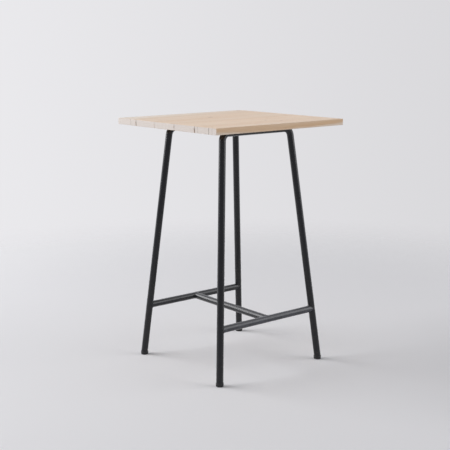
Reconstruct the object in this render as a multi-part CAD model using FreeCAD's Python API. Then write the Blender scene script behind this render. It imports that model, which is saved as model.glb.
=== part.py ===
import FreeCAD
import Part

import math
import os

# Standing meeting table: tongue-and-groove boards on a welded frame of bent steel tube.
# Millimetres, +Z up. The origin is on the floor under the middle of the top.
# X runs along the boards and Y across them, from the front bow to the rear bow.

Vec = FreeCAD.Vector

# Top
table_height = 1090.0
top_length = 700.0
top_width = 700.0
board_count = 5
board_thickness = 27.0
edge_round = 1.5

# Tongue and groove between two boards
face_gap = 0.4
face_chamfer = 0.8
tongue_depth = 9.0
tongue_thickness = 6.0
tongue_length = 6.0
tongue_clearance = 0.15
groove_end_clearance = 1.5
outer_lip_gap = 2.5
inner_lip_gap = 1.0

# Steel tube of the whole frame
tube_diameter = 30.0
tube_wall = 2.0
bend_radius = 34.0

# Leg bows: where their straight runs would meet at the top, and where they reach the floor
bow_top_span = 375.0
bow_foot_span = 571.0
bow_joint_inset = 24.5
bow_spread = 95.0

# Foot rails and stretcher, by the height of their middle
rail_height = 236.0
root_gap = 0.2

# Flat straps across the bows, let into the underside of the boards that they carry
strap_width = 40.0
strap_thickness = 3.0
strap_end_inset = 40.0
strap_bend_clearance = 30.0
strap_corner_round = 6.0
strap_edge_round = 0.6
housing_clearance = 0.3

# Pan-head wood screws, one for each board in each strap
screw_diameter = 5.0
screw_hole_clearance = 0.5
screw_tip_cover = 5.0
screw_tip_length = 5.0
screw_head_diameter = 9.6
screw_head_height = 3.0
screw_head_round = 1.8
pilot_clearance = 0.1
slot_width = 1.2
slot_length = 5.0
slot_depth = 1.6

# Welds
weld_size = 2.5
weld_clearance = 0.05
strap_weld_start = 4.0
strap_weld_reach = 10.0

# Moulded glides pressed into the tube ends
foot_height = 16.0
foot_lip = 1.6
foot_bottom_round = 3.0
foot_top_round = 1.2
plug_length = 26.0
plug_sink = 3.0
plug_clearance = 0.1
plug_wall = 2.0
rib_height = 1.5
rib_thickness = 2.0
rib_pitch = 6.0
rib_count = 4

# Places that follow from the sizes above
tube_radius = tube_diameter / 2
bore_radius = tube_radius - tube_wall
top_underside = table_height - board_thickness
strap_underside = top_underside
bow_height = top_underside - tube_radius
board_width = (top_width - (board_count - 1) * face_gap) / board_count
board_pitch = board_width + face_gap
board_centres = [(i - (board_count - 1) / 2) * board_pitch for i in range(board_count)]
outer_joint = top_width / 2 - board_width - face_gap / 2
bow_top_y = outer_joint - bow_joint_inset
bow_foot_y = bow_top_y + bow_spread
below_floor = tube_diameter


def rod(start, end, radius):
    """Solid round bar from start to end."""
    return Part.makeCylinder(radius, (end - start).Length, start, end - start)


def prism(points, direction):
    """Solid from a closed outline of points, pushed along direction."""
    outline = Part.makePolygon(points + [points[0]])
    return Part.Face(outline).extrude(direction)


def lathe(outline, base):
    """Solid of revolution about +Z through base, from (radius, height) points."""
    points = [base + Vec(r, 0, h) for r, h in outline]
    face = Part.Face(Part.makePolygon(points + [points[0]]))
    return face.revolve(base, Vec(0, 0, 1), 360)


def rims_at(solid, height):
    """Level edges of a solid at a height."""
    boxes = [(edge, edge.BoundBox) for edge in solid.Edges]
    return [edge for edge, box in boxes if max(abs(box.ZMin - height), abs(box.ZMax - height)) < 0.01]


def save(name, *solids):
    """Write one node, as one solid or as a group of like solids."""
    shape = solids[0] if len(solids) == 1 else Part.makeCompound(list(solids))
    shape.exportStep(os.path.join("parts", name + ".step"))


# Tongue-and-groove boards

def lip_gap(joint):
    """Gap below the tongue at a joint, counted from the front."""
    at_outer_board = joint in (0, board_count - 2)
    return outer_lip_gap if at_outer_board else inner_lip_gap


def board_outline(index):
    """Section of one board across its length: a groove faces the front and a tongue the rear."""
    front = board_centres[index] - board_width / 2
    rear = board_centres[index] + board_width / 2
    top = table_height
    tongue_top = top - tongue_depth
    tongue_bottom = tongue_top - tongue_thickness
    groove_top = tongue_top + tongue_clearance
    groove_bottom = tongue_bottom - tongue_clearance
    if index == 0:
        outline = [(front, top), (front, top_underside)]
    else:
        groove_end = front + tongue_length - face_gap + groove_end_clearance
        lip = front + lip_gap(index - 1) - face_gap
        outline = [
            (front + face_chamfer, top),
            (front, top - face_chamfer),
            (front, groove_top),
            (groove_end, groove_top),
            (groove_end, groove_bottom),
            (lip, groove_bottom),
            (lip, top_underside),
        ]
    if index == board_count - 1:
        outline += [(rear, top_underside), (rear, top)]
    else:
        outline += [
            (rear, top_underside),
            (rear, tongue_bottom),
            (rear + tongue_length, tongue_bottom),
            (rear + tongue_length, tongue_top),
            (rear, tongue_top),
            (rear, top - face_chamfer),
            (rear - face_chamfer, top),
        ]
    return outline


def eased_edges(board):
    """Edges of a board that lie on the outside of the finished top."""
    half_length = top_length / 2
    half_width = top_width / 2
    found = []
    for edge in board.Edges:
        box = edge.BoundBox
        flat = box.ZLength < 0.01
        at_face = abs(box.ZMax - table_height) < 0.01 or abs(box.ZMin - top_underside) < 0.01
        at_end = box.XLength < 0.01 and abs(abs(box.Center.x) - half_length) < 0.01
        at_side = box.YLength < 0.01 and abs(abs(box.Center.y) - half_width) < 0.01
        if flat and at_face and (at_end or at_side):
            found.append(edge)
    return found


def strap_blank(x, spare):
    """Plain flat bar in the place of a strap, larger by some spare on its sides and ends."""
    width = strap_width + 2 * spare
    length = top_width - 2 * strap_end_inset + 2 * spare
    bar = Part.makeBox(width, length, strap_thickness, Vec(x - width / 2, -length / 2, strap_underside))
    upright = [edge for edge in bar.Edges if edge.BoundBox.ZLength > strap_thickness / 2]
    return bar.makeFillet(strap_corner_round, upright)


def make_board(index):
    half_length = top_length / 2
    points = [Vec(-half_length, y, z) for y, z in board_outline(index)]
    board = prism(points, Vec(top_length, 0, 0))
    board = board.makeFillet(edge_round, eased_edges(board))
    for x in strap_places:
        start = Vec(x, board_centres[index], top_underside - board_thickness)
        end = Vec(x, board_centres[index], table_height - screw_tip_cover + pilot_clearance)
        board = board.cut(rod(start, end, screw_diameter / 2 + pilot_clearance))
        board = board.cut(strap_blank(x, housing_clearance))
    return board


# Leg bows: one bent tube makes two legs and the bar between them

def bow_corners(side):
    """Left foot, left corner, right corner and right foot of a bow's centre line."""
    top_y = side * bow_top_y
    foot_y = side * bow_foot_y
    return [
        Vec(-bow_foot_span / 2, foot_y, 0),
        Vec(-bow_top_span / 2, top_y, bow_height),
        Vec(bow_top_span / 2, top_y, bow_height),
        Vec(bow_foot_span / 2, foot_y, 0),
    ]


def bend(corner, before, after):
    """Start, middle and end of the bend between two straight runs that meet at corner."""
    back = (before - corner).normalize()
    ahead = (after - corner).normalize()
    half_angle = back.getAngle(ahead) / 2
    inward = (back + ahead).normalize()
    reach = bend_radius / math.tan(half_angle)
    middle = bend_radius / math.sin(half_angle) - bend_radius
    return corner + back * reach, corner + inward * middle, corner + ahead * reach


def bow_path(side):
    """Centre line of a bow, with both legs run on below the floor so that they can be cut level."""
    left_foot, left_corner, right_corner, right_foot = bow_corners(side)
    left_end = left_foot + (left_foot - left_corner).normalize() * below_floor
    right_end = right_foot + (right_foot - right_corner).normalize() * below_floor
    left_bend = bend(left_corner, left_foot, right_corner)
    right_bend = bend(right_corner, left_corner, right_foot)
    curves = [
        Part.LineSegment(left_end, left_bend[0]),
        Part.Arc(*left_bend),
        Part.LineSegment(left_bend[2], right_bend[0]),
        Part.Arc(*right_bend),
        Part.LineSegment(right_bend[2], right_end),
    ]
    return Part.Wire([curve.toShape() for curve in curves])


def swept(path, radius):
    """Round bar of the given radius along a path that starts with a straight run."""
    first = path.Edges[0]
    start = first.valueAt(first.FirstParameter)
    direction = first.tangentAt(first.FirstParameter)
    ring = Part.Wire([Part.Circle(start, direction, radius).toShape()])
    return path.makePipeShell([ring], True, False)


def make_bow(side):
    path = bow_path(side)
    tube = swept(path, tube_radius).cut(swept(path, bore_radius))
    reach = bow_foot_span + 2 * bow_foot_y
    corner = Vec(-reach / 2, -reach / 2, foot_height - reach)
    return tube.cut(Part.makeBox(reach, reach, reach, corner))


def leg_line(x_side, side):
    """Foot and top corner of one leg's centre line."""
    corners = bow_corners(side)
    return (corners[0], corners[1]) if x_side < 0 else (corners[3], corners[2])


def leg_at(x_side, side, height):
    """Point of a leg's centre line at a height."""
    foot, corner = leg_line(x_side, side)
    return foot + (corner - foot) * (height / bow_height)


def leg_bar(x_side, side, radius):
    """Solid bar in the place of one leg's straight run, for fitting other tubes to it."""
    foot, corner = leg_line(x_side, side)
    return rod(foot, corner, radius)


# Foot rails and stretcher, their ends shaped to the tube that they meet

def rail_ends(side):
    return leg_at(-1, side, rail_height), leg_at(1, side, rail_height)


def rail_bar(side, radius):
    return rod(*rail_ends(side), radius)


def make_rail(side):
    rail = rail_bar(side, tube_radius).cut(rail_bar(side, bore_radius))
    for x_side in (-1, 1):
        rail = rail.cut(leg_bar(x_side, side, tube_radius + root_gap))
    return rail


def stretcher_bar(radius):
    rail_y = rail_ends(1)[0].y
    return rod(Vec(0, -rail_y, rail_height), Vec(0, rail_y, rail_height), radius)


def make_stretcher():
    stretcher = stretcher_bar(tube_radius).cut(stretcher_bar(bore_radius))
    for side in (-1, 1):
        stretcher = stretcher.cut(rail_bar(side, tube_radius + root_gap))
    return stretcher


# Welds

def corner_weld(carrier, branch):
    """Bead round a branch tube where it meets its carrier: each is a function of a bar's radius."""
    outer = tube_radius + weld_size
    inner = tube_radius + weld_clearance
    return carrier(outer).common(branch(outer)).cut(carrier(inner)).cut(branch(inner))


def make_rail_welds():
    welds = []
    for side in (-1, 1):
        for x_side in (-1, 1):
            welds.append(corner_weld(
                lambda radius: leg_bar(x_side, side, radius),
                lambda radius: rail_bar(side, radius),
            ))
    return welds


def make_stretcher_welds():
    return [corner_weld(lambda radius: rail_bar(side, radius), stretcher_bar) for side in (-1, 1)]


def make_strap_welds():
    """Wedges that fill the corners between a strap and the top run of a bow."""
    welds = []
    for x in strap_places:
        for side in (-1, 1):
            bow_y = side * bow_top_y
            left = Vec(x - strap_width / 2, bow_y, bow_height)
            right = Vec(x + strap_width / 2, bow_y, bow_height)
            tube = rod(left, right, tube_radius + weld_clearance)
            for face in (-1, 1):
                inner = bow_y + face * strap_weld_start
                outer = bow_y + face * strap_weld_reach
                block = Part.makeBox(
                    strap_width,
                    abs(outer - inner),
                    tube_radius,
                    Vec(left.x, min(inner, outer), bow_height),
                )
                block.translate(Vec(0, 0, -weld_clearance))
                welds.append(block.cut(tube))
    return welds


# Straps and screws

def top_run_half_length():
    """Half of the straight run of a bow between its two bends."""
    left_foot, left_corner, right_corner, right_foot = bow_corners(1)
    return bend(right_corner, left_corner, right_foot)[0].x


def make_strap(x):
    strap = strap_blank(x, 0)
    rims = [edge for edge in strap.Edges if edge.BoundBox.ZLength < strap_thickness / 2]
    strap = strap.makeFillet(strap_edge_round, rims)
    for y in board_centres:
        hole_radius = screw_diameter / 2 + screw_hole_clearance / 2
        low = Vec(x, y, strap_underside - strap_thickness)
        high = Vec(x, y, strap_underside + 2 * strap_thickness)
        strap = strap.cut(rod(low, high, hole_radius))
    return strap


def make_screw(x, y):
    """Wood screw with its head under the strap and its point inside the board."""
    length = board_thickness - screw_tip_cover
    head = screw_head_diameter / 2
    shank = screw_diameter / 2
    outline = [
        (0, -screw_head_height),
        (head, -screw_head_height),
        (head, 0),
        (shank, 0),
        (shank, length - screw_tip_length),
        (0, length),
    ]
    base = Vec(x, y, strap_underside)
    screw = lathe(outline, base)
    low = strap_underside - screw_head_height
    screw = screw.makeFillet(screw_head_round, rims_at(screw, low))
    for across, along in ((slot_length, slot_width), (slot_width, slot_length)):
        corner = Vec(x - across / 2, y - along / 2, low - slot_depth)
        screw = screw.cut(Part.makeBox(across, along, 2 * slot_depth, corner))
    return screw


# Feet

def make_foot(x_side, side):
    """Glide with a level base and a ribbed plug that follows the lean of its leg."""
    base_radius = tube_radius + foot_lip
    seat = leg_at(x_side, side, foot_height)
    base = Part.makeCylinder(base_radius, foot_height, Vec(seat.x, seat.y, 0))
    base = base.makeFillet(foot_bottom_round, rims_at(base, 0))
    base = base.makeFillet(foot_top_round, rims_at(base, foot_height))
    foot, corner = leg_line(x_side, side)
    lean = (corner - foot).normalize()
    rib_radius = bore_radius - plug_clearance
    core_radius = rib_radius - rib_height
    start = seat - lean * plug_sink
    end = seat + lean * plug_length
    plug = rod(start, end, core_radius)
    for i in range(rib_count):
        low = end - lean * (i * rib_pitch + rib_thickness)
        plug = plug.fuse(rod(low, low + lean * rib_thickness, rib_radius))
    plug = plug.cut(rod(seat + lean * plug_wall, end + lean * plug_wall, core_radius - plug_wall))
    return base.fuse(plug).removeSplitter()


strap_place = top_run_half_length() - strap_bend_clearance - strap_width / 2
strap_places = (-strap_place, strap_place)
ends = {"front": -1, "rear": 1}
hands = {"left": -1, "right": 1}

os.makedirs("parts", exist_ok=True)
for index in range(board_count):
    save(f"top_board_{index + 1}", make_board(index))
for end_name, side in ends.items():
    save(f"{end_name}_leg_bow", make_bow(side))
    save(f"{end_name}_foot_rail", make_rail(side))
    for hand_name, x_side in hands.items():
        save(f"{end_name}_{hand_name}_foot", make_foot(x_side, side))
save("centre_stretcher", make_stretcher())
for hand_name, x in zip(hands, strap_places):
    save(f"{hand_name}_top_strap", make_strap(x))
save("top_screws", *[make_screw(x, y) for x in strap_places for y in board_centres])
save("rail_welds", *make_rail_welds())
save("stretcher_welds", *make_stretcher_welds())
save("strap_welds", *make_strap_welds())
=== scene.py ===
import math

import bmesh
import bpy
from mathutils import Matrix, Vector


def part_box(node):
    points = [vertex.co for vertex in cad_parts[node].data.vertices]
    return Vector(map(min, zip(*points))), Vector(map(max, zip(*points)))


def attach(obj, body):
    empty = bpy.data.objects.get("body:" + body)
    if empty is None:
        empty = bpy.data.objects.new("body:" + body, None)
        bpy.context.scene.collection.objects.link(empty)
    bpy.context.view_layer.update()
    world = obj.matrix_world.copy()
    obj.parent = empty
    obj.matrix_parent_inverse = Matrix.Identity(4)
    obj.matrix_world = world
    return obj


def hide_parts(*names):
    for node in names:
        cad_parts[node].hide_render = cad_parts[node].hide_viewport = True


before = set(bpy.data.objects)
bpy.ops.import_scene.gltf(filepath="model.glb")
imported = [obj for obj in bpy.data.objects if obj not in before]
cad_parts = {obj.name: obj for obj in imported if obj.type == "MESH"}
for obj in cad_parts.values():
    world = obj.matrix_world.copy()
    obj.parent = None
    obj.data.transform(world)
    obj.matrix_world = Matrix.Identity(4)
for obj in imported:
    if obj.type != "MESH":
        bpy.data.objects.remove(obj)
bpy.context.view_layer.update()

# Leg bows
# Each bow is one length of steel tube, bent twice on a former so that it makes two legs and the bar
# between them. It is welded to its foot rail and coated with satin black powder.

tube_radius = 0.015
tube_wall = 0.002
tube_segments = 48
bend_radius = 0.034
bend_steps = 14
bow_corner = Vector((0.1875, 0.18562, 1.048))
bow_foot = Vector((0.2855, 0.28062, 0.0))
tube_end_height = 0.016
merge_distance = 1e-6
sharp_angle = math.radians(50)
across = Vector((1, 0, 0))
ends = {"front": -1, "rear": 1}
hands = {"left": -1, "right": 1}
powder_black = (0.0044, 0.0046, 0.0064, 1)
powder_dusty = (0.020, 0.020, 0.021, 1)
powder_rubbed = (0.108, 0.112, 0.132, 1)
powder_roughness = (0.20, 0.30)
powder_relief = 0.00002
dust_share = 0.5
least_rubbed = 0.6
peel_waves = (420, 420, 420)
patch_waves = (16, 16, 16)


def add_node(tree, kind, inputs=None, **settings):
    """Adds a shader node with its settings, and the values or links of its inputs."""
    made = tree.nodes.new(kind)
    for name, value in settings.items():
        setattr(made, name, value)
    for socket, value in (inputs or {}).items():
        if isinstance(value, bpy.types.NodeSocket):
            tree.links.new(value, made.inputs[socket])
        else:
            made.inputs[socket].default_value = value
    return made


def calculate(tree, operation, a, b=0.0):
    """One step of arithmetic on numbers or sockets."""
    return add_node(tree, "ShaderNodeMath", {0: a, 1: b}, operation=operation).outputs["Value"]


def remap(tree, value, low, high, to_low=0.0, to_high=1.0):
    """A value carried smoothly from one range to another, and held at its ends."""
    inputs = {"Value": value, "From Min": low, "From Max": high, "To Min": to_low, "To Max": to_high}
    return add_node(tree, "ShaderNodeMapRange", inputs, interpolation_type="SMOOTHSTEP").outputs["Result"]


def tint(tree, share, colour, other):
    """One colour going over to another by a share from 0 to 1."""
    return add_node(tree, "ShaderNodeMix", {0: share, 6: colour, 7: other}, data_type="RGBA").outputs[2]


def noise(tree, place, waves, detail=2.0, roughness=0.5, shift=0.0):
    """Even noise with so many waves per metre along X, Y and Z."""
    inputs = {"Vector": place, "Scale": waves, "Location": (shift, shift, shift)}
    mapped = add_node(tree, "ShaderNodeMapping", inputs).outputs["Vector"]
    inputs = {"Vector": mapped, "Scale": 1.0, "Detail": detail, "Roughness": roughness}
    return add_node(tree, "ShaderNodeTexNoise", inputs).outputs["Fac"]


def split(tree, vector):
    """The X, Y and Z of a vector."""
    return add_node(tree, "ShaderNodeSeparateXYZ", {"Vector": vector}).outputs


def blank_material(name):
    """A material with a bare Principled shader, with its node tree and the place on the piece."""
    material = bpy.data.materials.new(name)
    material.use_nodes = True
    tree = material.node_tree
    place = add_node(tree, "ShaderNodeTexCoord").outputs["Object"]
    return material, tree, tree.nodes["Principled BSDF"], place


def surface_finish(tree, shader, colour, roughness, height, relief):
    """Joins a colour, a roughness and a relief in metres to the shader."""
    bump = add_node(tree, "ShaderNodeBump", {"Strength": 1.0, "Distance": relief, "Height": height})
    tree.links.new(colour, shader.inputs["Base Color"])
    tree.links.new(roughness, shader.inputs["Roughness"])
    tree.links.new(bump.outputs["Normal"], shader.inputs["Normal"])


def powder_coat(name, rubbing, scratch_waves=peel_waves):
    """Satin black powder on steel: orange peel, uneven gloss, dust on what faces up, and rubbing by shoes."""
    material, tree, shader, place = blank_material(name)
    peel = noise(tree, place, peel_waves)
    patches = noise(tree, place, patch_waves, detail=5.0)
    scratches = noise(tree, place, scratch_waves, detail=4.0, roughness=0.7, shift=3.0)
    normal = add_node(tree, "ShaderNodeNewGeometry").outputs["Normal"]
    upward = remap(tree, split(tree, normal)["Z"], 0.1, 1.0)
    dust = calculate(tree, "MULTIPLY", upward, remap(tree, patches, 0.35, 0.70, 0.0, dust_share))
    colour = tint(tree, dust, powder_black, powder_dusty)
    rubbed = remap(tree, patches, 0.30, 0.65, least_rubbed * rubbing, rubbing)
    worn = calculate(tree, "MULTIPLY", rubbed, remap(tree, scratches, 0.35, 0.65, 0.5, 1.0))
    colour = tint(tree, worn, colour, powder_rubbed)
    roughness = remap(tree, patches, 0.3, 0.7, *powder_roughness)
    surface_finish(tree, shader, colour, roughness, peel, powder_relief)
    return material


def leg_line(hand, end):
    """Where a leg's middle line reaches the floor, and where it would meet the top run of its bow."""
    side = Vector((hand, end, 1))
    return bow_foot * side, bow_corner * side


def start_ring(bm, place, way):
    """The first ring of a tube's edges, round place and square to way."""
    turned = Matrix.Translation(place) @ way.to_track_quat("Z", "Y").to_matrix().to_4x4()
    bmesh.ops.create_circle(bm, segments=tube_segments, radius=tube_radius, matrix=turned)
    return bm.edges[:]


def run_on(bm, ring, move):
    """Draws a ring of tube straight on, and returns the ring at its new end."""
    made = bmesh.ops.extrude_edge_only(bm, edges=ring)["geom"]
    verts = [item for item in made if isinstance(item, bmesh.types.BMVert)]
    bmesh.ops.translate(bm, verts=verts, vec=move)
    return [item for item in made if isinstance(item, bmesh.types.BMEdge) and set(item.verts) <= set(verts)]


def bend_on(bm, ring, centre, axis, turn):
    """Draws a ring of tube round a bend, and returns the ring at its new end."""
    verts = list(dict.fromkeys(vert for edge in ring for vert in edge.verts))
    made = bmesh.ops.spin(bm, geom=verts + ring, cent=centre, axis=axis, angle=turn, steps=bend_steps)
    return [item for item in made["geom_last"] if isinstance(item, bmesh.types.BMEdge)]


def cut_away(bm, place, outward):
    """Cuts off all that lies on the outward side of a plane."""
    everything = bm.verts[:] + bm.edges[:] + bm.faces[:]
    bmesh.ops.bisect_plane(bm, geom=everything, plane_co=place, plane_no=outward, clear_outer=True)


def bow_tube(end):
    """The tube of one bow, drawn up from its left foot, over, and down to its right foot."""
    left_foot, left_corner = leg_line(-1, end)
    right_foot, right_corner = leg_line(1, end)
    up = (left_corner - left_foot).normalized()
    down = (right_foot - right_corner).normalized()
    turn = up.angle(across)
    reach = bend_radius * math.tan(turn / 2)
    axis = up.cross(across).normalized()
    left_centre = left_corner - up * reach + axis.cross(up) * bend_radius
    right_centre = right_corner - across * reach + axis.cross(across) * bend_radius
    bm = bmesh.new()
    ring = start_ring(bm, left_foot, up)
    ring = run_on(bm, ring, left_corner - up * reach - left_foot)
    ring = bend_on(bm, ring, left_centre, axis, turn)
    ring = run_on(bm, ring, right_corner - left_corner - across * 2 * reach)
    ring = bend_on(bm, ring, right_centre, axis, turn)
    run_on(bm, ring, right_foot - right_corner - down * reach)
    cut_away(bm, Vector((0, 0, tube_end_height)), Vector((0, 0, -1)))
    return bm


def painted_piece(bm, name, paint, node, wall=0.0):
    """Turns a bmesh into a smooth painted piece that rides on the table in place of its node."""
    bmesh.ops.remove_doubles(bm, verts=bm.verts[:], dist=merge_distance)
    bmesh.ops.recalc_face_normals(bm, faces=bm.faces[:])
    if wall:
        bmesh.ops.solidify(bm, geom=bm.faces[:], thickness=wall)
    mesh = bpy.data.meshes.new(name)
    bm.to_mesh(mesh)
    bm.free()
    mesh.shade_smooth()
    mesh.set_sharp_from_angle(angle=sharp_angle)
    mesh.materials.append(paint)
    piece = bpy.data.objects.new(name, mesh)
    bpy.context.scene.collection.objects.link(piece)
    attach(piece, "root")
    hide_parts(node)


frame_paint = powder_coat("satin_black_powder", rubbing=0.0)
for end_name, end in ends.items():
    painted_piece(bow_tube(end), end_name + "_bow_tube", frame_paint, end_name + "_leg_bow", tube_wall)

# Foot rails and stretcher
# Straight lengths of the same steel tube, with their ends notched to lie against the tube that they are
# welded to. Shoes rest on them and rub the powder grey, most of all on the front rail.

rail_height = 0.236
along_rail = (40, 420, 420)
along_stretcher = (420, 40, 420)
rail_paints = {
    "front": powder_coat("front_rail_powder", rubbing=0.62, scratch_waves=along_rail),
    "rear": powder_coat("rear_rail_powder", rubbing=0.11, scratch_waves=along_rail),
}
stretcher_paint = powder_coat("stretcher_powder", rubbing=0.13, scratch_waves=along_stretcher)


def rail_point(hand, end):
    """Where the middle lines of a rail and a leg cross."""
    foot, corner = leg_line(hand, end)
    return foot.lerp(corner, rail_height / corner.z)


def leg_way(hand, end):
    """The way that a leg runs, from the floor up."""
    foot, corner = leg_line(hand, end)
    return (corner - foot).normalized()


def notched_tube(joints):
    """A tube between two joints, each a place and the way of the tube that it meets there."""
    (first, first_way), (last, last_way) = joints
    along = (last - first).normalized()
    bm = bmesh.new()
    run_on(bm, start_ring(bm, first - along * tube_radius, along), last - first + along * 2 * tube_radius)
    for place, outward, way in ((first, -along, first_way), (last, along, last_way)):
        cut_away(bm, place, outward + way)
        cut_away(bm, place, outward - way)
    return bm


for end_name, end in ends.items():
    rail = notched_tube([(rail_point(hand, end), leg_way(hand, end)) for hand in hands.values()])
    painted_piece(rail, end_name + "_rail_tube", rail_paints[end_name], end_name + "_foot_rail", tube_wall)

rail_reach = rail_point(1, 1).y
stretcher = notched_tube([(Vector((0, end * rail_reach, rail_height)), across) for end in ends.values()])
painted_piece(stretcher, "stretcher_tube", stretcher_paint, "centre_stretcher", tube_wall)

# Welds of the lower frame
# A bead of weld runs round each end of the rails and the stretcher, thickest in the crotch of the joint,
# with the ripples that the torch leaves. It is coated with the frame.

bead_side_radius = 0.0014
bead_crotch_radius = 0.0025
bead_points = 120
bead_ripples = 40
bead_roundness = 3
ripple_depth = 0.13


def bead_mesh(lines):
    """Round beads along lines of places and radii, in one bmesh."""
    curve = bpy.data.curves.new("bead_line", "CURVE")
    curve.dimensions = "3D"
    curve.bevel_depth = 1.0
    curve.bevel_resolution = bead_roundness
    curve.use_fill_caps = True
    for points, closed in lines:
        spline = curve.splines.new("POLY")
        spline.points.add(len(points) - 1)
        spline.use_cyclic_u = closed
        for made, (place, radius) in zip(spline.points, points):
            made.co = (*place, 1)
            made.radius = radius
    drawn = bpy.data.objects.new("bead_line", curve)
    bpy.context.scene.collection.objects.link(drawn)
    swept = bpy.data.meshes.new_from_object(drawn.evaluated_get(bpy.context.evaluated_depsgraph_get()))
    bm = bmesh.new()
    bm.from_mesh(swept)
    bpy.data.objects.remove(drawn)
    bpy.data.curves.remove(curve)
    bpy.data.meshes.remove(swept)
    return bm


def ripple(share, count):
    """How far a bead's radius falls between its ripples, from the share of its line and their count."""
    return 1 - ripple_depth * abs(math.cos(math.pi * count * share))


def joint_bead(place, way, branch):
    """Closed line round the joint of two equal tubes: the carrier's way, and the branch's way out of it."""
    side = branch.cross(way).normalized()
    half_angle = branch.angle(way) / 2
    near = (branch + way).normalized() * tube_radius / math.sin(half_angle)
    far = (branch - way).normalized() * tube_radius / math.cos(half_angle)
    points = []
    for i in range(bead_points):
        angle = 2 * math.pi * i / bead_points
        crotch = abs(math.sin(angle))
        peak = near if angle < math.pi else far
        spot = place + side * tube_radius * math.cos(angle) + peak * crotch
        radius = bead_side_radius + (bead_crotch_radius - bead_side_radius) * crotch
        points.append((spot, radius * ripple(i / bead_points, bead_ripples)))
    return points, True


beads = []
for end in ends.values():
    for hand in hands.values():
        beads.append(joint_bead(rail_point(hand, end), leg_way(hand, end), across * -hand))
painted_piece(bead_mesh(beads), "rail_weld_beads", frame_paint, "rail_welds")

beads = []
for end in ends.values():
    beads.append(joint_bead(Vector((0, end * rail_reach, rail_height)), across, Vector((0, -end, 0))))
painted_piece(bead_mesh(beads), "stretcher_weld_beads", frame_paint, "stretcher_welds")

# Top straps and their welds
# Two lengths of flat bar lie across the bows, let into the boards that they carry. Short beads in the
# corners below them hold them to the bows, and all of it is coated with the frame.

strap_bead_out = 0.0080
strap_bead_drop = 0.0017
strap_bead_radius = 0.0018
strap_bead_length = 0.037
strap_bead_points = 60
strap_bead_ripples = bead_ripples / 3
bead_tip_share = 0.4
bead_tip_rise = 8


def strap_bead(middle):
    """Open line of a short bead along X, which swells from a thin tip at each end."""
    points = []
    for i in range(strap_bead_points + 1):
        share = i / strap_bead_points
        spot = middle + across * strap_bead_length * (share - 0.5)
        taper = min(1, bead_tip_share + bead_tip_rise * min(share, 1 - share))
        points.append((spot, strap_bead_radius * taper * ripple(share, strap_bead_ripples)))
    return points, False


beads = []
for hand_name in hands:
    strap = hand_name + "_top_strap"
    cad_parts[strap].material_slots[0].material = frame_paint
    strap_low, strap_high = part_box(strap)
    middle_x = (strap_low.x + strap_high.x) / 2
    for end in ends.values():
        for face in (-1, 1):
            y = end * bow_corner.y + face * strap_bead_out
            beads.append(strap_bead(Vector((middle_x, y, strap_low.z - strap_bead_drop))))
painted_piece(bead_mesh(beads), "strap_weld_beads", frame_paint, "strap_welds")

# Glides
# Black glides of moulded plastic are pressed into the tube ends and stand on the floor. Their rims are
# rounded, and the floor rubs their lower edge grey.

glide_black = (0.012, 0.012, 0.013, 1)
glide_rubbed = (0.055, 0.053, 0.050, 1)
glide_rubbed_height = 0.006
glide_roughness = (0.46, 0.60)
glide_relief = 0.00004
mould_waves = (2400, 2400, 2400)
rub_waves = (120, 120, 420)


def moulded_plastic(name):
    """Black plastic with a fine spark-eroded grain, rubbed where it slides on the floor."""
    material, tree, shader, place = blank_material(name)
    grain = noise(tree, place, mould_waves, detail=3.0)
    rubs = noise(tree, place, rub_waves, detail=4.0, roughness=0.7)
    low = remap(tree, split(tree, place)["Z"], 0.0, glide_rubbed_height, 1.0, 0.0)
    wear = calculate(tree, "MULTIPLY", low, remap(tree, rubs, 0.42, 0.66))
    colour = tint(tree, wear, glide_black, glide_rubbed)
    surface_finish(tree, shader, colour, remap(tree, grain, 0.3, 0.7, *glide_roughness), grain, glide_relief)
    return material


glide_plastic = moulded_plastic("black_glide_plastic")
for end_name in ends:
    for hand_name in hands:
        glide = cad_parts[end_name + "_" + hand_name + "_foot"]
        glide.material_slots[0].material = glide_plastic

# Boards of the top
# Five planed softwood floor boards, tongued and grooved into each other and screwed to the straps, with a
# thin matt finish. Each is sawn from its own place in a log, so rings, tone and end grain change.

early_wood = (0.800, 0.550, 0.340, 1)
late_wood = (0.640, 0.400, 0.215, 1)
pale_sapwood = (0.870, 0.745, 0.615, 1)
sapwood_ring = (0.700, 0.530, 0.385, 1)
fibre_brown = (0.595, 0.380, 0.215, 1)
dry_end_grain = (0.770, 0.705, 0.655, 1)
end_grain_ring = (0.585, 0.470, 0.392, 1)
worn_arris = (0.800, 0.690, 0.570, 1)
knot_heart = (0.400, 0.205, 0.095, 1)
knot_ring = (0.215, 0.100, 0.045, 1)
check_black = (0.070, 0.048, 0.036, 1)

# How far such a colour covers the one below it, at most
sapwood_share = 0.9
sapwood_ring_share = 0.8
fibre_share = 0.42
cloud_share = 0.30
end_ring_share = 0.60
saw_mark_share = 0.35
arris_share = 0.45
knot_share = 0.85

# Waves of noise per metre along X, Y and Z, or per ring, and how far each board's patterns are shifted
sway_waves = (2.2, 7, 7)
wobble_waves = (14, 40, 40)
fibre_waves = (7, 620, 620)
cloud_waves = (2, 16, 16)
saw_waves = (1, 900, 45)
year_waves = 0.35
noise_shift = 10
cloud_shift = 4

# How far rings and cracks sway from side to side, and how the sapwood widens along a board
log_sway = 0.006
ring_wobble = 0.0007
crack_wobble = 0.001
sapwood_drift = 0.066
no_sapwood = (1.0, 0.003, 0.0)

# Sizes of a knot in its own radii
knot_core = 0.80
knot_edge = 1.10
knot_wobble = 0.12
knot_reach = 5
knot_swelling = 1.6
knot_ring_width = 0.33

# Where a crack starts to fade and where it ends, in its own widths from its middle
check_core = 0.3
joint_line_core = 0.2
crack_edge = 0.6

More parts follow.
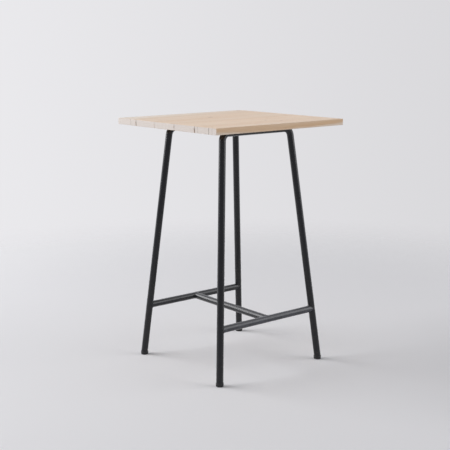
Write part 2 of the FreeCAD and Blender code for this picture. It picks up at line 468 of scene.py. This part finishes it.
planed_roughness = (0.58, 0.70)
end_dulling = 0.15
wood_sheen = 0.36
wood_sheen_roughness = 0.30
wood_relief = 0.00006
ring_height = 0.5

# Dark line at each joint between two boards, on the end faces and darker towards the bottom: its Y, width and
# strength
joint_dark_lines = [(-0.210, 0.0060, 0.90), (-0.070, 0.0050, 0.60), (0.070, 0.0040, 0.30), (0.210, 0.0070, 0.75)]
board_low, board_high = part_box("top_board_1")
joint_line_full_height = (board_low.z + board_high.z) / 2
joint_line_top_share = 0.4


def combine(tree, operation, a, b=(0, 0, 0)):
    """One step of arithmetic on vectors, with its outputs Vector and Value."""
    return add_node(tree, "ShaderNodeVectorMath", {0: a, 1: b}, operation=operation).outputs


def distance_to_line(tree, place, point, mask):
    """Distance from a line through point, which runs along the axis that mask leaves out."""
    offset = combine(tree, "SUBTRACT", place, point)["Vector"]
    return combine(tree, "LENGTH", combine(tree, "MULTIPLY", offset, mask)["Vector"])["Value"]


def ramp(tree, value, *stops):
    """A value drawn through stops, each a place from 0 to 1 and the value there."""
    made = add_node(tree, "ShaderNodeValToRGB", {"Fac": value})
    elements = made.color_ramp.elements
    while len(elements) < len(stops):
        elements.new(1.0)
    for element, (at, level) in zip(elements, stops):
        element.position = at
        element.color = (level, level, level, 1)
    return add_node(tree, "ShaderNodeSeparateColor", {"Color": made.outputs["Color"]}).outputs["Red"]


def swing(tree, value, reach):
    """Noise carried to a swing of so many metres to both sides."""
    return remap(tree, value, 0.2, 0.8, -reach, reach)


def pith_distance(tree, place, pith, slope, wobble, shift):
    """Distance from the pith of the log, which sways along it."""
    inputs = {"Vector": place, "Location": (0, *pith), "Rotation": (0, *slope)}
    log_place = add_node(tree, "ShaderNodeMapping", inputs, vector_type="TEXTURE").outputs["Vector"]
    radius = distance_to_line(tree, log_place, (0, 0, 0), (0, 1, 1))
    sway = noise(tree, place, sway_waves, shift=shift)
    radius = calculate(tree, "ADD", radius, swing(tree, sway, log_sway))
    return calculate(tree, "ADD", radius, swing(tree, wobble, ring_wobble))


def grow_knot(tree, place, radius, wobble, knot):
    """Swells the rings round a knot, and gives the share that it covers and its own rings."""
    x, y, size = knot
    off = distance_to_line(tree, place, (x, y, 0), (1, 1, 0))
    off = calculate(tree, "ADD", off, swing(tree, wobble, knot_wobble * size))
    swelling = remap(tree, off, 0.0, knot_reach * size, knot_swelling * size, 0.0)
    inside = remap(tree, off, knot_core * size, knot_edge * size, knot_share, 0.0)
    ring = calculate(tree, "FRACT", calculate(tree, "DIVIDE", off, knot_ring_width * size))
    return calculate(tree, "ADD", radius, swelling), inside, ring


def year_rings(tree, radius, ring_width):
    """Share of dark late wood in the rings, which comes on slowly, stops sharply and varies by the year."""
    rings = calculate(tree, "DIVIDE", radius, ring_width)
    inputs = {"W": rings, "Scale": year_waves, "Detail": 1.0}
    years = add_node(tree, "ShaderNodeTexNoise", inputs, noise_dimensions="1D").outputs["Fac"]
    rings = calculate(tree, "FRACT", calculate(tree, "ADD", rings, years))
    late = ramp(tree, rings, (0, 0), (0.30, 0.06), (0.72, 0.50), (0.92, 1), (1, 0))
    return calculate(tree, "MULTIPLY", late, remap(tree, years, 0.25, 0.75, 0.30, 1.0))


def sapwood_cover(tree, radius, x, sapwood):
    """Share of sapwood: none within the heartwood, and more away from where it is thinnest."""
    heartwood, blur, thinnest = sapwood
    away = calculate(tree, "SUBTRACT", x, thinnest)
    drift = calculate(tree, "MULTIPLY", calculate(tree, "MULTIPLY", away, away), sapwood_drift)
    outward = calculate(tree, "ADD", radius, drift)
    return remap(tree, outward, heartwood - blur, heartwood + blur, 0.0, sapwood_share)


def long_grain(tree, late, sap_cover, fibre, clouds, tone):
    """Colour of the planed faces: rings, sapwood, fibres along the board, clouds, and the board's tone."""
    sap_rings = calculate(tree, "MULTIPLY", late, sapwood_ring_share)
    colour = tint(tree, late, early_wood, late_wood)
    colour = tint(tree, sap_cover, colour, tint(tree, sap_rings, pale_sapwood, sapwood_ring))
    colour = tint(tree, remap(tree, fibre, 0.46, 0.78, 0.0, fibre_share), colour, fibre_brown)
    colour = tint(tree, remap(tree, clouds, 0.35, 0.70, 0.0, cloud_share), colour, pale_sapwood)
    inputs = {0: 1.0, 6: colour, 7: (tone, tone, tone, 1)}
    return add_node(tree, "ShaderNodeMix", inputs, data_type="RGBA", blend_type="MULTIPLY").outputs[2]


def end_grain(tree, late, saw_marks):
    """Colour of the sawn ends: dry and pale, with the rings cut across and the marks of the saw."""
    colour = tint(tree, calculate(tree, "MULTIPLY", late, end_ring_share), dry_end_grain, end_grain_ring)
    return tint(tree, remap(tree, saw_marks, 0.48, 0.75, 0.0, saw_mark_share), colour, end_grain_ring)


def rubbed_arris(tree, normal, facing):
    """Share of rubbed wood, on the arrises that hands reach: they face along no axis, and not down."""
    flattest = calculate(tree, "MAXIMUM", facing["X"], calculate(tree, "MAXIMUM", facing["Y"], facing["Z"]))
    arris = remap(tree, flattest, 0.78, 0.98, arris_share, 0.0)
    handled = remap(tree, split(tree, normal)["Z"], -0.5, 0.1)
    return calculate(tree, "MULTIPLY", arris, handled)


def crack(tree, crooked, y, width, core, strength=1.0):
    """Share of a dark line along X at y, full in its core and gone beyond its edge."""
    gap = calculate(tree, "ABSOLUTE", calculate(tree, "SUBTRACT", crooked, y))
    return remap(tree, gap, core * width, crack_edge * width, strength, 0.0)


def board_wood(name, pith, slope, ring_width, tone, knots=(), checks=(), sapwood=no_sapwood):
    """Planed softwood, from the place of its pith in Y and Z and the log's turns about those axes.

    A knot is its X, Y and radius. A check is its Y, width, depth from the left end and strength. Sapwood is
    the radius where it starts, half the width of the change, and the X where it is thinnest.
    """
    material, tree, shader, place = blank_material(name)
    shift = noise_shift * pith[0]
    x, y, z = split(tree, place)
    normal = add_node(tree, "ShaderNodeNewGeometry").outputs["Normal"]
    facing = split(tree, combine(tree, "ABSOLUTE", normal)["Vector"])
    at_end = remap(tree, facing["X"], 0.6, 0.9)
    wobble = noise(tree, place, wobble_waves, detail=3.0, shift=shift)
    fibre = noise(tree, place, fibre_waves, detail=3.0, roughness=0.62, shift=shift)
    clouds = noise(tree, place, cloud_waves, detail=3.0, shift=shift + cloud_shift)
    saw_marks = noise(tree, place, saw_waves, detail=3.0, roughness=0.65, shift=shift)

    # Rings of the log, and how they swell round a knot
    radius = pith_distance(tree, place, pith, slope, wobble, shift)
    knot_marks = []
    for knot in knots:
        radius, inside, ring = grow_knot(tree, place, radius, wobble, knot)
        knot_marks.append((inside, tint(tree, ring, knot_heart, knot_ring)))
    late = year_rings(tree, radius, ring_width)

    # Long grain, end grain, rubbed arrises and knots
    sap_cover = sapwood_cover(tree, radius, x, sapwood)
    colour = long_grain(tree, late, sap_cover, fibre, clouds, tone)
    colour = tint(tree, at_end, colour, end_grain(tree, late, saw_marks))
    colour = tint(tree, rubbed_arris(tree, normal, facing), colour, worn_arris)
    for inside, knot_colour in knot_marks:
        colour = tint(tree, inside, colour, knot_colour)

    # Drying checks that run in from the left end, and dark lines at the joints on the end faces at both ends,
    # darker towards the bottom
    crooked = calculate(tree, "ADD", y, swing(tree, wobble, crack_wobble))
    for check_y, width, depth, strength in checks:
        run = remap(tree, x, board_low.x, board_low.x + depth, strength, 0.0)
        share = calculate(tree, "MULTIPLY", run, crack(tree, crooked, check_y, width, check_core))
        colour = tint(tree, share, colour, check_black)
    joint_line_mask = calculate(tree, "MULTIPLY", at_end, remap(tree, z, joint_line_full_height, board_high.z, 1.0, joint_line_top_share))
    for joint_y, width, strength in joint_dark_lines:
        joint_line_share = crack(tree, crooked, joint_y, width, joint_line_core, strength)
        colour = tint(tree, calculate(tree, "MULTIPLY", joint_line_share, joint_line_mask), colour, check_black)

    # Matt finish, dullest on the ends, with the late wood standing proud and the fibres open
    planed = remap(tree, fibre, 0.3, 0.7, *planed_roughness)
    roughness = calculate(tree, "ADD", planed, calculate(tree, "MULTIPLY", at_end, end_dulling))
    height = calculate(tree, "SUBTRACT", calculate(tree, "MULTIPLY", late, ring_height), fibre)
    shader.inputs["Sheen Weight"].default_value = wood_sheen
    shader.inputs["Sheen Roughness"].default_value = wood_sheen_roughness
    surface_finish(tree, shader, colour, roughness, height, wood_relief)
    return material


board_looks = {
    "top_board_1": dict(
        pith=(-0.250, 1.160),
        slope=(0.010, 0.012),
        ring_width=0.0034,
        tone=1.00,
        sapwood=(0.138, 0.003, 0.0),
        knots=[(0.090, -0.240, 0.007)],
        checks=[(-0.302, 0.0022, 0.030, 1.0), (-0.323, 0.0012, 0.015, 0.8), (-0.230, 0.0012, 0.020, 0.8)],
    ),
    "top_board_2": dict(
        pith=(-0.155, 1.005),
        slope=(-0.012, 0.006),
        ring_width=0.0038,
        tone=1.01,
        knots=[(0.050, -0.185, 0.006)],
    ),
    "top_board_3": dict(
        pith=(0.190, 1.085),
        slope=(0.004, -0.004),
        ring_width=0.0046,
        tone=0.965,
    ),
    "top_board_4": dict(
        pith=(0.120, 1.150),
        slope=(0.014, -0.006),
        ring_width=0.0036,
        tone=0.955,
        knots=[(-0.030, 0.098, 0.013)],
    ),
    "top_board_5": dict(
        pith=(0.150, 1.030),
        slope=(-0.006, 0.035),
        ring_width=0.0031,
        tone=0.905,
        sapwood=(0.172, 0.050, 0.5),
        checks=[(0.251, 0.0015, 0.020, 0.9)],
    ),
}
for node, look in board_looks.items():
    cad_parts[node].material_slots[0].material = board_wood(node + "_wood", **look)

# Screws of the top
# Pan-head wood screws of cold-formed steel, bright zinc plated. They go up through the straps, one into
# each board from each strap.

zinc_bright = (0.66, 0.67, 0.69, 1)
zinc_dull = (0.44, 0.44, 0.43, 1)
zinc_roughness = (0.26, 0.48)
zinc_relief = 0.00003
mottle_waves = (700, 700, 700)
dull_waves = (180, 180, 180)


def zinc_plate(name):
    """Zinc plate on steel: mottled, with dull patches."""
    material, tree, shader, place = blank_material(name)
    shader.inputs["Metallic"].default_value = 1.0
    mottle = noise(tree, place, mottle_waves, detail=4.0)
    dull = noise(tree, place, dull_waves, detail=3.0, shift=2.0)
    colour = tint(tree, remap(tree, dull, 0.40, 0.68), zinc_bright, zinc_dull)
    surface_finish(tree, shader, colour, remap(tree, dull, 0.35, 0.70, *zinc_roughness), mottle, zinc_relief)
    return material


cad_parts["top_screws"].material_slots[0].material = zinc_plate("bright_zinc_plate")

# Floor, light and camera
# A plain pale floor that fades out into the background. The main light is soft and comes from behind on the
# left, and a weaker one from the front on the right. The camera stands a little above the table's top.

floor_radius = 3.6
floor_fade = 1.5
floor_grey = (0.84, 0.835, 0.85, 1)
floor_roughness = 0.75
floor_gloss = 0.2
background_dim = (0.66, 0.655, 0.675, 1)
background_bright = (0.88, 0.875, 0.90, 1)
background_bright_way = (-0.8, 0.6, 0.0)
background_spread = 0.6
mirrored_dim = (0.44, 0.445, 0.49, 1)
mirrored_bright = (0.99, 1.0, 1.05, 1)
mirrored_bright_way = (0.63, 0.77, 0.0)
mirrored_spread = 0.35
ambient = (0.25, 0.25, 0.26, 1)
daylight = (0.985, 0.99, 1.0)
light_aim = Vector((0, 0, 0.75))
camera_place = Vector((-2.7011, -3.3244, 1.4391))
camera_heading = math.radians(-38.812)
camera_tilt = math.radians(90 - 10.912)
camera_roll = math.radians(-0.278)
camera_lens = 77.94

floor_mesh = bpy.data.meshes.new("floor")
bm = bmesh.new()
bmesh.ops.create_circle(bm, cap_ends=True, segments=64, radius=floor_radius)
bm.to_mesh(floor_mesh)
bm.free()
floor = bpy.data.objects.new("floor", floor_mesh)
bpy.context.scene.collection.objects.link(floor)

floor_material, tree, shader, place = blank_material("pale_floor")
shader.inputs["Base Color"].default_value = floor_grey
shader.inputs["Roughness"].default_value = floor_roughness
shader.inputs["Specular IOR Level"].default_value = floor_gloss
from_middle = distance_to_line(tree, place, (0, 0, 0), (1, 1, 0))
above = calculate(tree, "SUBTRACT", 1.0, add_node(tree, "ShaderNodeNewGeometry").outputs["Backfacing"])
faded = calculate(tree, "MULTIPLY", remap(tree, from_middle, floor_fade, floor_radius, 1.0, 0.0), above)
tree.links.new(faded, shader.inputs["Alpha"])
floor_mesh.materials.append(floor_material)


def share_towards(tree, bright_way, spread):
    """How far the background lies towards its bright side, from 0 to 1."""
    way = add_node(tree, "ShaderNodeTexCoord").outputs["Generated"]
    return remap(tree, combine(tree, "DOT_PRODUCT", way, bright_way)["Value"], -spread, spread)


world = bpy.data.worlds.new("studio")
bpy.context.scene.world = world
world.use_nodes = True
tree = world.node_tree
rays = add_node(tree, "ShaderNodeLightPath").outputs
seen = calculate(tree, "MAXIMUM", rays["Is Camera Ray"], rays["Is Transmission Ray"])
backdrop_share = share_towards(tree, background_bright_way, background_spread)
backdrop = tint(tree, backdrop_share, background_dim, background_bright)
mirrored_share = share_towards(tree, mirrored_bright_way, mirrored_spread)
mirrored = tint(tree, mirrored_share, mirrored_dim, mirrored_bright)
unseen = tint(tree, rays["Is Glossy Ray"], ambient, mirrored)
tree.links.new(tint(tree, seen, unseen, backdrop), tree.nodes["Background"].inputs["Color"])


def soft_light(name, way, distance, size, power):
    """A round soft lamp that shines on the table from a way and a distance."""
    lamp = bpy.data.lights.new(name, "AREA")
    lamp.shape = "DISK"
    lamp.size = size
    lamp.energy = power
    lamp.color = daylight
    light = bpy.data.objects.new(name, lamp)
    light.location = light_aim + way.normalized() * distance
    light.rotation_euler = (-way).to_track_quat("-Z", "Y").to_euler()
    light.visible_camera = False
    bpy.context.scene.collection.objects.link(light)


soft_light("window_light", Vector((-0.64, 0.67, 0.46)), distance=8.0, size=7.3, power=655)
soft_light("room_light", Vector((0.66, -0.66, 0.36)), distance=8.0, size=7.0, power=264)

camera_data = bpy.data.cameras.new("camera")
camera_data.lens = camera_lens
camera = bpy.data.objects.new("camera", camera_data)
camera.matrix_world = (
    Matrix.Translation(camera_place)
    @ Matrix.Rotation(camera_heading, 4, "Z")
    @ Matrix.Rotation(camera_tilt, 4, "X")
    @ Matrix.Rotation(camera_roll, 4, "Z")
)
bpy.context.scene.collection.objects.link(camera)
bpy.context.scene.camera = camera
bpy.context.scene.view_settings.view_transform = "Standard"
